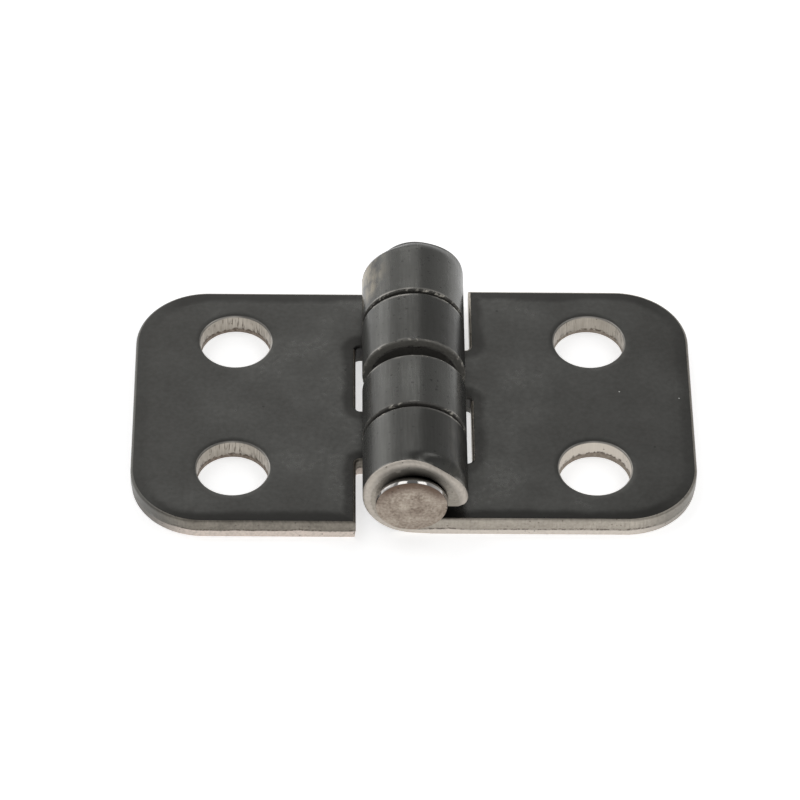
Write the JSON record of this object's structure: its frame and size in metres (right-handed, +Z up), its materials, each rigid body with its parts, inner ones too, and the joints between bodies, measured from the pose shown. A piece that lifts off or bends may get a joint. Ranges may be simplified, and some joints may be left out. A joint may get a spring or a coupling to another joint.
{
  "type": "butt hinge",
  "caption": "Steel butt hinge with flat rounded leaves drilled for screws, rolled interleaved knuckles and a captive pin with upset ends; the leaves swing about the pin.",
  "frame": {"origin": "under the middle of the pin, on the plane of the leaves' undersides", "axes": "+X across the leaves towards the right leaf, +Y along the pin to the rear, +Z up from the undersides towards the knuckles"},
  "size_m": [0.05, 0.0304, 0.0092],
  "materials": {
    "leaf_steel": "dark rolling scale on the faces, bare steel on the blanked edges",
    "pin_steel": "bare upset steel, polished at the rims of the heads"
  },
  "bodies": {
    "left_leaf": {"left_leaf": "leaf_steel"},
    "right_leaf": {"right_leaf": "leaf_steel"},
    "pin": {"hinge_pin": "pin_steel"}
  },
  "joints": [
    {"name": "leaf_swing", "type": "hinge", "parent": "left_leaf", "child": "right_leaf", "pos_m": [0, 0, 0.0046], "axis": [0, -1, 0], "range_deg": [-90, 190]},
    {"name": "pin_turn", "type": "hinge", "parent": "left_leaf", "child": "pin", "pos_m": [0, 0, 0.0046], "axis": [0, -1, 0], "continuous": true}
  ]
}
